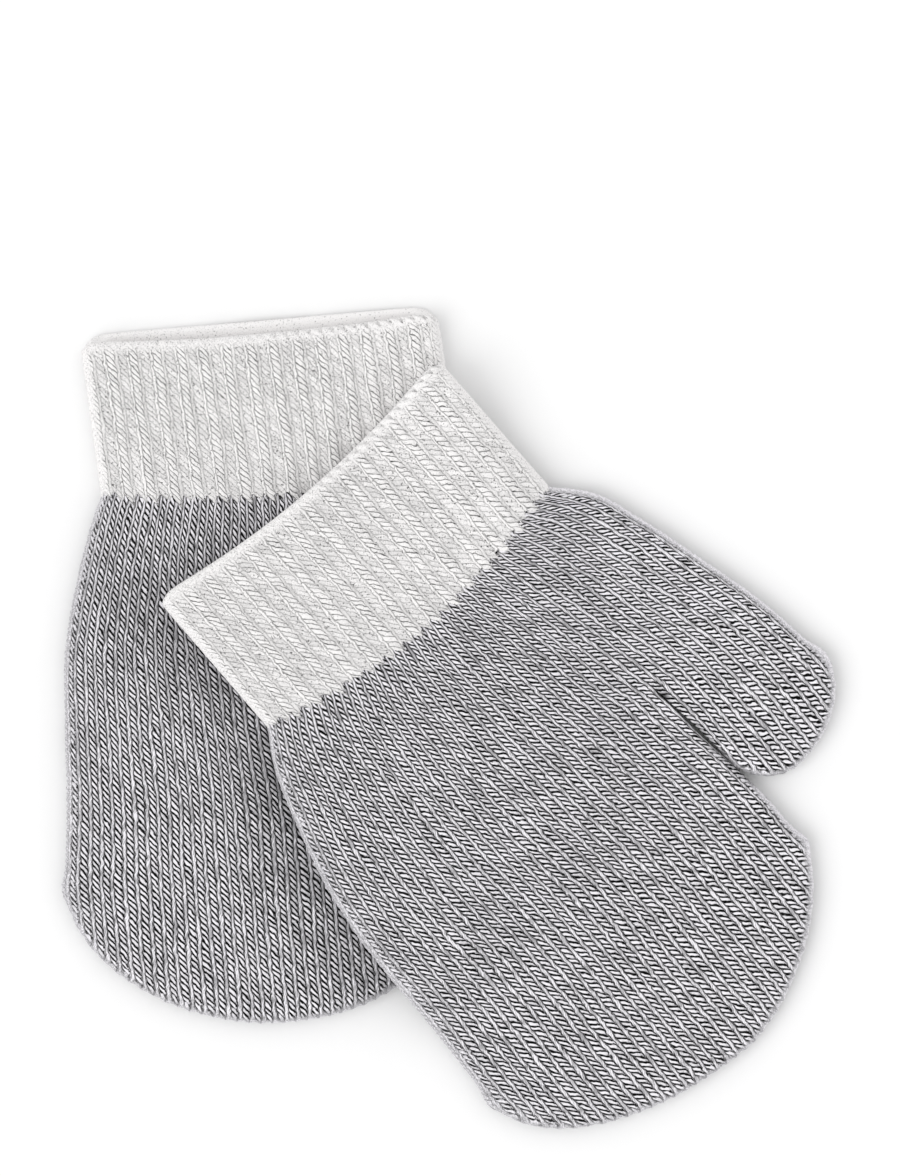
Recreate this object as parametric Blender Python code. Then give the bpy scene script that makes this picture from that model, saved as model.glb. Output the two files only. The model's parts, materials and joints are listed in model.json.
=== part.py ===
"""Pair of child's knitted mittens laid flat, one across the other.

Each mitten is a ribbed cuff, a bag for palm and fingers, and a thumb, all of them flattened tubes of
knit. Sizes below are in millimetres and become metres when a mesh is made. +Z is up, and the origin is
on the floor under the middle of the pair.

A mitten is cut in its own plane: "along" runs from the middle of the mouth to the fingertips, and
"across" runs from its left side to its thumb side.
"""

from collections import namedtuple
from math import ceil, cos, pi, radians, sin

import bmesh
import bpy
import numpy as np

MM = 0.001

WALL = 1.8  # one layer of knit
LAID = 5.2  # a mitten laid flat: two layers and the slit between them
GAP = 0.3  # clearance between two pieces, and between the two mittens
LIP_ROUND = 0.6  # rounding of the turned edge at the mouth
LIP_LENGTH = 0.8

RIBS = 16  # ribs across one face of a cuff
RIB_RISE = 0.5
RIB_START = 2.2  # plain turned edge above the first rib
RIB_FULL = 4.0  # ribs have their full height from here
COLUMNS_PER_RIB = 4

DRAPE_REACH = 14.0  # distance over which the upper mitten comes down to the floor
THUMB_STUB = 3.7  # the hand's own knit runs this far past the crotch into the thumb

RING_STEP = 7.0  # between two rings of a piece, at most
OUTLINE_STEP = 2.0  # between two points of a cut's outline, at most
ARC_STEPS = 24  # points on one quarter of a round end's outline
FINGERTIP_RINGS = 8
THUMBTIP_RINGS = 6
NOTCH_RINGS = 3  # rings in the first, round part of the notch
CROTCH_STEPS = (3.0, 1.2, 0.35)  # the palm's last rings stand this far before the crotch
LAST_SHARE = 0.996  # a round end is capped here, just short of its tip
SHARP_EDGE = 50.0  # degrees; flatter edges are shaded smooth

# Where a flattened tube turns under, points stand at these shares of its edge radius.
EDGE_STEPS = (0.0, 0.13, 0.46, 1.0)
EDGE_WIDTH = 0.25  # the most of a tube's width that one turned edge takes
FINGER_SPANS = 10
THUMB_SPANS = 3
CUFF_BACK_SPANS = 10
FORK = FINGER_SPANS + 2 * len(EDGE_STEPS) - 2  # the palm's column that runs to the crotch

# A row of a cut: its place, its left and right edge, and how far its middle bows to the fingertips.
# The right edge is the thumb's as far as the thumb goes. Further rows repeat it and don't use it.
Row = namedtuple("Row", "along left right bow")

# A rounded end: its furthest point, and the power of the curve on either side (2 is an ellipse).
Tip = namedtuple("Tip", "along across left_power right_power")

# The notch between fingers and thumb: its root, its lean, and how it opens per millimetre.
Notch = namedtuple("Notch", "along across lean opening")

# The back layer's edge at the mouth: how far it bows, and how square its corners are (2 is round).
Back = namedtuple("Back", "bow power")

Cut = namedtuple("Cut", "mouth turn back cuff hand fingers_right fingertip notch thumb_end thumbtip")

OVER = Cut(
    mouth=(-27.0, 42.1),
    turn=-49.4,
    back=Back(3.1, 2),
    cuff=(
        Row(-1.1, -32.9, 33.3, 3.1),
        Row(29.4, -32.8, 33.7, 4.8),
    ),
    hand=(
        Row(29.7, -32.9, 33.8, 4.8),
        Row(35.0, -36.0, 38.4, 4.0),
        Row(45.0, -39.7, 42.4, 2.4),
        Row(57.0, -43.0, 45.8, 1.0),
        Row(69.8, -44.9, 49.1, 0.0),
        Row(86.0, -45.3, 51.1, 0.0),
        Row(106.8, -46.2, 51.1, 0.0),
    ),
    fingers_right=27.2,
    fingertip=Tip(129.3, -4.5, 1.95, 1.65),
    notch=Notch(69.8, 24.4, 0.10, 0.025),
    thumb_end=86.0,
    thumbtip=Tip(96.6, 35.5, 2.0, 1.8),
)

UNDER = Cut(
    mouth=(-34.0, 69.6),
    turn=-85.1,
    back=Back(-1.2, 16),
    cuff=(
        Row(-0.8, -32.6, 31.9, 1.3),
        Row(27.0, -31.2, 33.6, 2.8),
    ),
    hand=(
        Row(27.3, -31.3, 33.7, 2.8),
        Row(33.5, -33.8, 37.6, 2.4),
        Row(43.0, -37.0, 41.4, 2.2),
        Row(54.0, -39.8, 44.6, 1.0),
        Row(67.0, -41.0, 47.8, 0.0),
        Row(82.5, -42.0, 49.6, 0.0),
        Row(97.0, -43.6, 49.6, 0.0),
    ),
    fingers_right=27.0,
    fingertip=Tip(124.2, -6.3, 1.85, 2.25),
    notch=Notch(67.0, 23.6, 0.10, 0.025),
    thumb_end=82.5,
    thumbtip=Tip(93.5, 34.6, 2.0, 1.7),
)

MATERIALS = {
    "knit_grey": ((0.355, 0.350, 0.362, 1.0), 0.95),
    "knit_white": ((0.72, 0.71, 0.70, 1.0), 0.95),
}


def clear_scene():
    """Take away whatever the open file holds."""
    for thing in list(bpy.data.objects):
        bpy.data.objects.remove(thing, do_unlink=True)


def knit_material(name):
    """A rough, matt yarn colour."""
    colour, roughness = MATERIALS[name]
    material = bpy.data.materials.new(name)
    material.use_nodes = True
    shader = material.node_tree.nodes["Principled BSDF"]
    shader.inputs["Base Color"].default_value = colour
    shader.inputs["Roughness"].default_value = roughness
    shader.inputs["Metallic"].default_value = 0.0
    return material


def eased(share):
    """Turn an even change from 0 to 1 into one that starts and ends gently."""
    return share * share * (3.0 - 2.0 * share)


def smooth_value(rows, column, at):
    """Read one column of a table of rows at the place "at", on a smooth curve through the rows."""
    places = np.array([row.along for row in rows])
    values = np.array([getattr(row, column) for row in rows])
    slopes = np.gradient(values, places)
    at = np.asarray(at, dtype=float)
    first = np.clip(np.searchsorted(places, at) - 1, 0, len(places) - 2)
    span = places[first + 1] - places[first]
    share = (at - places[first]) / span
    rise = eased(share)
    leave = share * (1.0 - share) ** 2 * span * slopes[first]
    arrive = share * share * (share - 1.0) * span * slopes[first + 1]
    return values[first] * (1.0 - rise) + values[first + 1] * rise + leave + arrive


def spaced(start, end, step):
    """Evenly spaced places from start to end, no further apart than the step."""
    return list(np.linspace(start, end, ceil((end - start) / step) + 1))


def left_edge(cut, at, inset):
    """Left side of the hand."""
    return float(smooth_value(cut.hand, "left", at)) + inset


def right_edge(cut, at, inset):
    """Right side of the hand: the palm's, and then the thumb's."""
    return float(smooth_value(cut.hand, "right", at)) - inset


def shoulder_of(cut):
    """Place where the fingers' straight sides end and the round tip begins."""
    return cut.hand[-1].along


def notch_edges(cut, inset, along):
    """The fingers' right edge and the thumb's left edge, either side of the notch between them."""
    root = cut.notch.along - inset
    radius = GAP + inset
    start = 1.0 - min(1.0, (along - root) / radius)
    middle = cut.notch.across + cut.notch.lean * max(0.0, along - cut.notch.along)
    spread = cut.notch.opening * max(0.0, along - cut.notch.along)
    half = (radius + spread) * (1.0 - start * start) ** 0.5
    fingers = min(middle - half, cut.fingers_right - inset)
    return fingers, middle + half


def round_end(tip, shoulder, left, right, inset, share):
    """Place and both edges of a round end, at a share from its shoulder (0) to its tip (1)."""
    length = tip.along - inset - shoulder
    left_half = (tip.across - left) * (1.0 - share**tip.left_power) ** (1.0 / tip.left_power)
    right_half = (right - tip.across) * (1.0 - share**tip.right_power) ** (1.0 / tip.right_power)
    return shoulder + share * length, tip.across - left_half, tip.across + right_half


def fingers_end(cut, inset, share):
    """The round end of the fingers."""
    shoulder = shoulder_of(cut)
    left = left_edge(cut, shoulder, inset)
    right = notch_edges(cut, inset, shoulder)[0]
    return round_end(cut.fingertip, shoulder, left, right, inset, share)


def thumb_end(cut, inset, share):
    """The round end of the thumb."""
    shoulder = cut.thumb_end
    left = notch_edges(cut, inset, shoulder)[1]
    right = right_edge(cut, shoulder, inset)
    return round_end(cut.thumbtip, shoulder, left, right, inset, share)


def tip_shares(count):
    """Shares along a round end that crowd towards its tip, where the outline turns fastest."""
    return [sin(0.5 * pi * step / count) for step in range(1, count)]


def notch_opening(cut, inset, count):
    """Places where the notch is still round, from just past its root to its full width."""
    root = cut.notch.along - inset
    radius = GAP + inset
    return [root + radius * (1.0 - cos(0.5 * pi * step / count)) for step in range(1, count + 1)]


def outline(cut, inset):
    """The cut's side edges as one open line, from the mouth's left corner round to its right one."""
    cuff = spaced(cut.cuff[0].along, cut.cuff[1].along, OUTLINE_STEP)
    fingers_side = spaced(cut.hand[0].along, shoulder_of(cut), OUTLINE_STEP)
    thumb_side = spaced(cut.hand[0].along, cut.thumb_end, OUTLINE_STEP)
    left = [(at, smooth_value(cut.cuff, "left", at) + inset) for at in cuff]
    left += [(at, left_edge(cut, at, inset)) for at in fingers_side]
    right = [(at, smooth_value(cut.cuff, "right", at) - inset) for at in cuff]
    right += [(at, right_edge(cut, at, inset)) for at in thumb_side]

    fingertip = [fingers_end(cut, inset, share) for share in tip_shares(ARC_STEPS)]
    thumbtip = [thumb_end(cut, inset, share) for share in tip_shares(ARC_STEPS)]
    opening = notch_opening(cut, inset, NOTCH_RINGS)
    beside_fingers = opening + spaced(opening[-1], shoulder_of(cut), OUTLINE_STEP)[1:]
    beside_thumb = opening + spaced(opening[-1], cut.thumb_end, OUTLINE_STEP)[1:]

    line = left
    line += [(at, low) for at, low, high in fingertip]
    line.append((cut.fingertip.along - inset, cut.fingertip.across))
    line += [(at, high) for at, low, high in reversed(fingertip)]
    line += [(at, notch_edges(cut, inset, at)[0]) for at in reversed(beside_fingers)]
    line.append((cut.notch.along - inset, cut.notch.across))
    line += [(at, notch_edges(cut, inset, at)[1]) for at in beside_thumb]
    line += [(at, low) for at, low, high in thumbtip]
    line.append((cut.thumbtip.along - inset, cut.thumbtip.across))
    line += [(at, high) for at, low, high in reversed(thumbtip)]
    return np.array(line + right[::-1], dtype=float)


def distance_to_line(points, line):
    """Shortest distance from each point to an open line of straight stretches."""
    start = line[:-1]
    step = line[1:] - start
    offset = points[:, None, :] - start[None, :, :]
    share = (offset * step).sum(axis=2) / (step * step).sum(axis=1)
    share = np.clip(share, 0.0, 1.0)
    away = offset - share[:, :, None] * step
    return np.sqrt((away * away).sum(axis=2)).min(axis=1)


def inside_line(points, line):
    """Whether each point lies inside a line closed by its two ends."""
    start = line
    end = np.roll(line, -1, axis=0)
    px = points[:, None, 0]
    py = points[:, None, 1]
    spans = (start[:, 1] > py) != (end[:, 1] > py)
    rise = np.where(end[:, 1] == start[:, 1], 1.0, end[:, 1] - start[:, 1])
    crossing = start[:, 0] + (py - start[:, 1]) / rise * (end[:, 0] - start[:, 0])
    return (np.sum(spans & (px < crossing), axis=1) % 2) == 1


def to_floor(cut, plan):
    """Move points from a mitten's own plane to their place on the floor."""
    turn = radians(cut.turn)
    along = np.array((cos(turn), sin(turn)))
    across = np.array((-sin(turn), cos(turn)))
    return np.array(cut.mouth) + plan[:, :1] * along + plan[:, 1:] * across


def rest_height(cut, places):
    """Height of whatever a mitten lies on: the floor, or the top of the mitten below it."""
    if cut is UNDER:
        return np.zeros(len(places))
    below = to_floor(UNDER, outline(UNDER, 0.0))
    closed = np.vstack([below, below[:1]])
    outside = np.where(inside_line(places, below), 0.0, distance_to_line(places, closed))
    share = np.clip(outside / DRAPE_REACH, 0.0, 1.0)
    return (LAID + GAP) * (1.0 - eased(share))


class Knit:
    """One closed piece of knit, gathered ring by ring: an outer face, an inner face and their rims."""

    def __init__(self, cut):
        self.cut = cut
        self.points = []
        self.faces = []

    def add_points(self, plan, side, inset, lower=None):
        """Add points given in the cut's plane. Side is 1 on the front layer, -1 on the back, 0 between.

        The layers curve together where they come nearer to the outline than the edge's radius.
        """
        plan = np.array(plan, dtype=float)
        radius = 0.5 * LAID - inset
        near = np.clip(distance_to_line(plan, outline(self.cut, inset)) / radius, 0.0, 1.0)
        swell = np.array(side) * radius - (0.0 if lower is None else np.array(lower))
        height = 0.5 * LAID + swell * np.sqrt(1.0 - (1.0 - near) ** 2)
        places = to_floor(self.cut, plan)
        height += rest_height(self.cut, places)
        first = len(self.points)
        self.points.extend(np.column_stack([places, height]).tolist())
        return list(range(first, len(self.points)))

    def ring(self, front, back, inset, pinch=None, lower=None):
        """Add one closed ring. Front and back run left to right and share both end points.

        At a pinch, the place of the thumb's crotch, front and back share one more point.
        """
        plan = list(front) + list(back)[-2:0:-1]
        side = [0.0] + [1.0] * (len(front) - 2) + [0.0] + [-1.0] * (len(back) - 2)
        if lower is not None:
            lower = list(lower) + [0.0] * (len(back) - 2)
        if pinch is not None:
            twin = len(plan) - pinch
            del plan[twin], side[twin]
            side[pinch] = 0.0
        loop = self.add_points(plan, side, inset, lower)
        if pinch is not None:
            loop.insert(twin, loop[pinch])
        return loop

    def join(self, one, other):
        """Faces between two rings with equal numbers of points."""
        for here in range(len(one)):
            following = (here + 1) % len(one)
            face = [one[here], one[following], other[following], other[here]]
            self.faces.append(list(dict.fromkeys(face)))

    def join_all(self, rings):
        """Faces along a whole row of rings."""
        for one, other in zip(rings, rings[1:]):
            self.join(one, other)

    def cap(self, ring):
        """Close the last ring of a round end."""
        self.faces.append(list(ring))

    def build(self, name, material):
        """Make the object, with every face turned outwards."""
        mesh = bpy.data.meshes.new(name)
        mesh.from_pydata([[MM * value for value in point] for point in self.points], [], self.faces)
        form = bmesh.new()
        form.from_mesh(mesh)
        bmesh.ops.recalc_face_normals(form, faces=form.faces)
        bmesh.ops.triangulate(form, faces=form.faces)
        form.to_mesh(mesh)
        form.free()
        mesh.materials.append(material)
        mesh.shade_smooth()
        mesh.set_sharp_from_angle(angle=radians(SHARP_EDGE))
        piece = bpy.data.objects.new(name, mesh)
        bpy.context.scene.collection.objects.link(piece)
        return piece


def across_places(left, right, spans, inset):
    """Places across a flattened tube: close together where it turns under, even between."""
    reach = min(0.5 * LAID - inset, EDGE_WIDTH * (right - left))
    near = [left + reach * step for step in EDGE_STEPS]
    far = [right - reach * step for step in reversed(EDGE_STEPS)]
    middle = list(np.linspace(near[-1], far[0], spans + 1)[1:-1])
    return near + middle + far


def bowed(along, bow, across, power=2):
    """Give each place in a row its own distance along, so that the row's middle bows forward."""
    across = np.array(across)
    middle = 0.5 * (across[0] + across[-1])
    share = np.abs(across - middle) / (0.5 * (across[-1] - across[0]))
    return np.column_stack([along + bow * (1.0 - share**power), across])


def cuff_ring(knit, cut, at, inset, ribbed=False):
    """One ring round a cuff. Where it is ribbed, its front layer dips between the ribs."""
    mouth, seam = cut.cuff
    share = (at - mouth.along) / (seam.along - mouth.along)
    left = mouth.left + share * (seam.left - mouth.left) + inset
    right = mouth.right + share * (seam.right - mouth.right) - inset
    bow = mouth.bow + share * (seam.bow - mouth.bow)

    steps = np.linspace(0.0, 1.0, RIBS * COLUMNS_PER_RIB + 1)
    beside_edge = EDGE_STEPS[1] * (0.5 * LAID - inset) / (right - left)
    steps = np.concatenate([[0.0, beside_edge], steps[1:-1], [1.0 - beside_edge, 1.0]])
    front = bowed(at, bow, left + steps * (right - left))
    lower = None
    if ribbed:
        rib_start = np.clip((at - mouth.along - RIB_START) / (RIB_FULL - RIB_START), 0.0, 1.0)
        lower = rib_start * RIB_RISE * (1.0 - np.abs(np.sin(pi * RIBS * steps)))

    across = across_places(left, right, CUFF_BACK_SPANS, inset)
    back = bowed(at, share * seam.bow, across)
    back[:, 0] += bowed(0.0, (1.0 - share) * cut.back.bow, across, cut.back.power)[:, 0]
    return knit.ring(front, back, inset, lower=lower)


def build_cuff(cut, name, material):
    """Ribbed cuff: ribs raised on the outer face, a plain inner face and a turned edge at the mouth."""
    knit = Knit(cut)
    mouth, seam = (row.along for row in cut.cuff)
    outside = [mouth + LIP_LENGTH, mouth + RIB_START] + spaced(mouth + RIB_FULL, seam, RING_STEP)
    inside = spaced(mouth + LIP_LENGTH, seam, RING_STEP)
    outer = [cuff_ring(knit, cut, mouth, LIP_ROUND)]
    outer += [cuff_ring(knit, cut, at, 0.0, ribbed=True) for at in outside]
    inner = [cuff_ring(knit, cut, mouth, WALL - LIP_ROUND)]
    inner += [cuff_ring(knit, cut, at, WALL) for at in inside]

    knit.join_all(outer)
    knit.join_all(inner)
    knit.join(outer[0], inner[0])
    knit.join(outer[-1], inner[-1])
    return knit.build(name, material)


def palm_columns(cut, at, inset):
    """Places across the palm: the fingers' columns, then the thumb's, meeting on the line to the crotch."""
    root = cut.notch.along - inset
    crotch = cut.notch.across
    left = left_edge(cut, root, inset)
    fingers_share = (crotch - left) / (right_edge(cut, root, inset) - left)
    seam = cut.hand[0]
    seam_split = seam.left + fingers_share * (seam.right - seam.left)
    way = (at - seam.along) / (root - seam.along)
    split = seam_split + way * (crotch - seam_split)
    fingers = across_places(left_edge(cut, at, inset), split, FINGER_SPANS, inset)
    thumb = across_places(split, right_edge(cut, at, inset), THUMB_SPANS, inset)
    return fingers + thumb[1:]


def level_ring(knit, at, left, right, spans, inset):
    """One ring with the same points on its front and back layer."""
    row = bowed(at, 0.0, across_places(left, right, spans, inset))
    return knit.ring(row, row, inset)


def thumb_ring(knit, cut, at, inset):
    """One ring round the thumb's straight part."""
    left = notch_edges(cut, inset, at)[1]
    return level_ring(knit, at, left, right_edge(cut, at, inset), THUMB_SPANS, inset)


def palm_rings(knit, cut, inset):
    """Rings from the cuff's seam to the crotch, where the last one is pinched together."""
    root = cut.notch.along - inset
    stations = spaced(cut.hand[0].along, root - CROTCH_STEPS[0], RING_STEP)
    stations += [root - step for step in CROTCH_STEPS[1:]]
    rings = []
    for at in stations:
        bow = float(smooth_value(cut.hand, "bow", at))
        row = bowed(at, bow, palm_columns(cut, at, inset))
        rings.append(knit.ring(row, row, inset))
    row = bowed(root, 0.0, palm_columns(cut, root, inset))
    rings.append(knit.ring(row, row, inset, pinch=FORK))
    return rings


def hand_skin(knit, cut, inset):
    """One face of the hand, from the cuff's seam past the crotch to the fingertips.

    Returns its ring at the seam and its ring at the end of the thumb's stub.
    """
    palm = palm_rings(knit, cut, inset)
    knit.join_all(palm)
    last = FORK + THUMB_SPANS + 2 * len(EDGE_STEPS) - 2
    front = palm[-1][: last + 1]
    back = palm[-1][last + 1 :]
    fingers = [front[: FORK + 1] + back[last - FORK :]]
    thumb = [front[FORK:] + back[: last - 1 - FORK]]

    opening = notch_opening(cut, inset, NOTCH_RINGS)
    for at in opening + spaced(opening[-1], shoulder_of(cut), RING_STEP)[1:]:
        left = left_edge(cut, at, inset)
        right = notch_edges(cut, inset, at)[0]
        fingers.append(level_ring(knit, at, left, right, FINGER_SPANS, inset))
    for share in tip_shares(FINGERTIP_RINGS) + [LAST_SHARE]:
        fingers.append(level_ring(knit, *fingers_end(cut, inset, share), FINGER_SPANS, inset))
    knit.join_all(fingers)
    knit.cap(fingers[-1])

    for at in opening + [cut.notch.along + THUMB_STUB]:
        thumb.append(thumb_ring(knit, cut, at, inset))
    knit.join_all(thumb)
    return palm[0], thumb[-1]


def build_hand(cut, name, material):
    """Palm and fingers in one bag, open at the cuff and at the thumb."""
    knit = Knit(cut)
    outer_seam, outer_thumb = hand_skin(knit, cut, 0.0)
    inner_seam, inner_thumb = hand_skin(knit, cut, WALL)
    knit.join(outer_seam, inner_seam)
    knit.join(outer_thumb, inner_thumb)
    return knit.build(name, material)


def build_thumb(cut, name, material):
    """Thumb: a tube that is open where it meets the hand and round at its tip."""
    knit = Knit(cut)
    start = cut.notch.along + THUMB_STUB + GAP
    mouths = []
    for inset in (0.0, WALL):
        rings = [thumb_ring(knit, cut, at, inset) for at in spaced(start, cut.thumb_end, RING_STEP)]
        for share in tip_shares(THUMBTIP_RINGS) + [LAST_SHARE]:
            rings.append(level_ring(knit, *thumb_end(cut, inset, share), THUMB_SPANS, inset))
        knit.join_all(rings)
        knit.cap(rings[-1])
        mouths.append(rings[0])
    knit.join(mouths[0], mouths[1])
    return knit.build(name, material)


def main():
    clear_scene()
    grey = knit_material("knit_grey")
    white = knit_material("knit_white")
    for name, cut in (("under", UNDER), ("over", OVER)):
        build_cuff(cut, name + "_cuff", white)
        build_hand(cut, name + "_hand", grey)
        build_thumb(cut, name + "_thumb", grey)


main()
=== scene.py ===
"""Looks of a pair of child's knitted mittens, laid flat with one across the other.

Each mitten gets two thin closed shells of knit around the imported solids: a ribbed cuff, and a hand
with its thumb. A shell is laid column by column along the wales of the knit, so that the yarn's
strokes and the gaps between them are real relief. The colours in the materials follow the same
count of wales and courses. Lengths are in millimetres and become metres when a mesh is made.
"""

import json
from collections import namedtuple
from math import ceil, floor, pi, radians

import bmesh
import bpy
import numpy as np
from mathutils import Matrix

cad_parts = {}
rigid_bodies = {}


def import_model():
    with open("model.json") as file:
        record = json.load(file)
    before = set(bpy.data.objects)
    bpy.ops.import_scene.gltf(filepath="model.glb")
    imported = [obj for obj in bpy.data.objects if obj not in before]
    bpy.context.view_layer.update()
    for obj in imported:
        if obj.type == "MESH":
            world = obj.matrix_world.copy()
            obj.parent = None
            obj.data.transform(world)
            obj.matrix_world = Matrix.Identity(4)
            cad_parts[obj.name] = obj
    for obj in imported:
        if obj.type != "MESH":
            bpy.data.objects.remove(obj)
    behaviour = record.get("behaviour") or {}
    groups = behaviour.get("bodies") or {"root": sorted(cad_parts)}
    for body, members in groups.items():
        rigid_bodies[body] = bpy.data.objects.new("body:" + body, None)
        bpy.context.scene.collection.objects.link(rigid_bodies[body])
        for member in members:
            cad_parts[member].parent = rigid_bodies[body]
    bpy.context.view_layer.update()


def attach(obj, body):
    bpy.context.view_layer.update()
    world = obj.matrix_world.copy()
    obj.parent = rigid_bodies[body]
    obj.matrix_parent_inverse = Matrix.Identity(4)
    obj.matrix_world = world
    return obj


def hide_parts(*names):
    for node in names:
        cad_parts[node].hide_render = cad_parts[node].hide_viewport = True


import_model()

MM = 0.001

WALL = 1.8  # one layer of knit
LAID = 5.2  # a mitten laid flat: two layers and the slit between them
ROUND = 0.5 * LAID  # radius of the turned sides
GAP = 0.3  # clearance between the two mittens
DRAPE_REACH = 14.0  # distance over which the upper mitten comes down to the floor
OUTLINE_STEP = 1.0  # points of an outline stand at most this far apart
MARGIN = 1.0  # outlines start this far before the seam, and the flat layout keeps this margin
ROW_CURVE = 0.0088  # curvature of the rows of stitches in the palm and fingers, per millimetre
ROW_GROWTH = 30.0  # reached this far from the seam
TOUCHING = 0.2  # a point that lies nearer than this to an edge counts as lying on it
ARC_STEPS = 40  # points on one quarter of a round end's outline

NOTCH_HALF = 0.02  # half width of the slit at the crotch, where fingers and thumb touch
NOTCH_OPENING = 0.0085  # and how much it grows per millimetre
NOTCH_STEPS = 8  # points of the outline around its root
PLAIN_NOTCH_STEPS = 5  # and of an inner face
CROTCH_LIFT = 2.2  # the valley between fingers and thumb starts this much shallower
CROTCH_REACH = 21.0  # and has its full depth this far beyond the crotch

HAND_WALES = 48
FINGER_WALES = 35
CROTCH_COURSES = 35  # courses from the seam to the crotch
CUFF_WALES = 32
CUFF_COURSES = 26
RIB_WALES = 2
RIB_PLACE = 0.7  # a cuff's side lies this many wales before its first whole one

# A row of a cut: its place, its left and right edge, and how far its middle bows to the fingertips.
# The right edge is the thumb's as far as the thumb goes. Further rows repeat it and don't use it.
Row = namedtuple("Row", "along left right bow")

# A rounded end: its furthest point, and the power of the curve on either side (2 is an ellipse).
Tip = namedtuple("Tip", "along across left_power right_power")

# The notch between fingers and thumb: its root and its lean.
Notch = namedtuple("Notch", "along across lean")

# The back layer's edge at the mouth: how far it bows, and how square its corners are (2 is round).
Back = namedtuple("Back", "bow power")

Cut = namedtuple("Cut", "mouth turn back cuff hand fingers_right fingertip notch thumb_end thumbtip")

OVER = Cut(
    mouth=(-27.0, 42.1),
    turn=-49.4,
    back=Back(3.1, 2),
    cuff=(
        Row(-1.1, -32.9, 33.3, 3.1),
        Row(29.4, -32.8, 33.7, 4.8),
    ),
    hand=(
        Row(29.7, -32.9, 33.8, 4.8),
        Row(35.0, -36.0, 38.4, 4.0),
        Row(45.0, -39.7, 42.4, 2.4),
        Row(57.0, -43.0, 45.8, 1.0),
        Row(69.8, -44.9, 49.1, 0.0),
        Row(86.0, -45.3, 51.1, 0.0),
        Row(106.8, -46.2, 51.1, 0.0),
    ),
    fingers_right=26.9,
    fingertip=Tip(129.3, -4.5, 1.95, 1.6),
    notch=Notch(69.8, 24.4, 0.10),
    thumb_end=86.0,
    thumbtip=Tip(96.6, 35.5, 2.0, 1.8),
)

UNDER = Cut(
    mouth=(-34.0, 69.6),
    turn=-85.1,
    back=Back(-1.2, 30),
    cuff=(
        Row(-0.8, -32.6, 31.9, 1.3),
        Row(27.0, -31.2, 33.6, 2.8),
    ),
    hand=(
        Row(27.3, -31.3, 33.7, 2.8),
        Row(33.5, -33.8, 37.6, 2.4),
        Row(43.0, -37.0, 41.4, 2.2),
        Row(54.0, -39.8, 44.6, 1.0),
        Row(67.0, -41.0, 47.8, 0.0),
        Row(82.5, -42.0, 49.6, 0.0),
        Row(97.0, -43.6, 49.6, 0.0),
    ),
    fingers_right=27.0,
    fingertip=Tip(124.2, -6.3, 1.85, 2.25),
    notch=Notch(67.0, 23.6, 0.10),
    thumb_end=82.5,
    thumbtip=Tip(93.5, 34.6, 2.0, 1.7),
)

# A line of points along a wale: its place across the wale, its points in each course, and how deep
# it lies on a stroke's crest and in the gap before the next stroke.
Line = namedtuple("Line", "place rows crest gap")

# A weave: the share of a wale that its wide left leg takes, how many courses that leg rises in the
# first wale and how much more in each further one, how much of the gaps' depth its odd wales have,
# and its lines.
Weave = namedtuple("Weave", "left_share rise turn odd lines")

HAND_FRONT = Weave(
    left_share=0.66,
    rise=1.12,
    turn=0.009,
    odd=1.0,
    lines=(
        Line(0.0, 2, 0.28, 0.28),
        Line(0.17, 4, 0.0, 0.62),
        Line(0.49, 4, 0.0, 0.62),
        Line(0.66, 2, 0.28, 0.28),
        Line(0.83, 1, 0.0, 0.0),
    ),
)
HAND_BACK = HAND_FRONT._replace(
    lines=(Line(0.0, 2, 0.28, 0.28), Line(0.33, 4, 0.0, 0.60), Line(0.66, 1, 0.28, 0.28))
)
CUFF_FACE = Weave(
    left_share=0.76,
    rise=1.5,
    turn=0.0,
    odd=0.5,
    lines=(
        Line(0.0, 2, 0.14, 0.14),
        Line(0.20, 4, 0.0, 0.28),
        Line(0.56, 4, 0.0, 0.28),
        Line(0.76, 2, 0.16, 0.16),
        Line(0.88, 1, 0.0, 0.0),
    ),
)
STROKE_BEND = 0.2  # share of a stroke's rise that comes with the square of its length
GAP_SHARES = (1.0, 0.22, 0.0, 0.22)  # how much of a gap's depth each quarter of a course has
GAP_VARIES = (0.7, 0.6)  # single gaps have this share of their depth, and up to this share more
CREST_SPREAD = 0.12  # single crests lie up to this much deeper
HEAD_DEPTH = 0.1  # depth of a column's first points
SEAM_LAP = 0.22  # a cuff's last stitches and the hand's first overlap by this much
SEAM_PAST = 0.5 * (SEAM_LAP + GAP)  # because the solids' seams stand apart by the gap
SEAM_REACH = 1.7  # height of the seam's zigzag
JAG_VARIES = (0.6, 0.8)  # single teeth have this share of it, and up to this share more
EDGE_BAND = 0.04  # top and bottom faces are joined by a band this far up and down
END_STEPS = (0.30, 0.08, 0.0)  # a column's last points stand this far before its end
START_CLEAR = 0.12  # no other point stands nearer than this to a column's first one
SOFT_REACH = 0.8  # relief and pattern have their full strength this far from the edge
UNDERSIDE_REACH = 0.12  # or this far on the back layer, whose turned sides show only from low down
PALE_SHARE = 0.42  # share of the pattern that the light from the left takes at a hand's left side
PALE_REACH = 5.5
CLOSED = 6.0  # at a closed notch, the pattern runs on as if the edge lay this much further away
CLOSED_END = (21.0, 5.0)  # up to this far beyond the crotch, and less over this distance more
RIM_LIGHT = 0.85  # how light the loose fibres at a hand's right side and at its tips are: painted light on real fuzz
RIM_REACH = 0.95  # and how far inwards they show
VALLEY_SHADE = 0.30  # how much darker the knit looks between fingers and thumb
VALLEY_REACH = 1.0
VALLEY_GROWTH = (3.0, 8.0)  # it starts this far beyond the crotch, and takes this far to be full
BESIDE_SHADE = 0.17  # and how much darker the lower mitten looks beside the upper one
BESIDE_REACH = 19.0
BESIDE_START = 25.0  # but less so up to this far from its seam
BESIDE_LEAST = 0.2  # where this share of it is left
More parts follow.
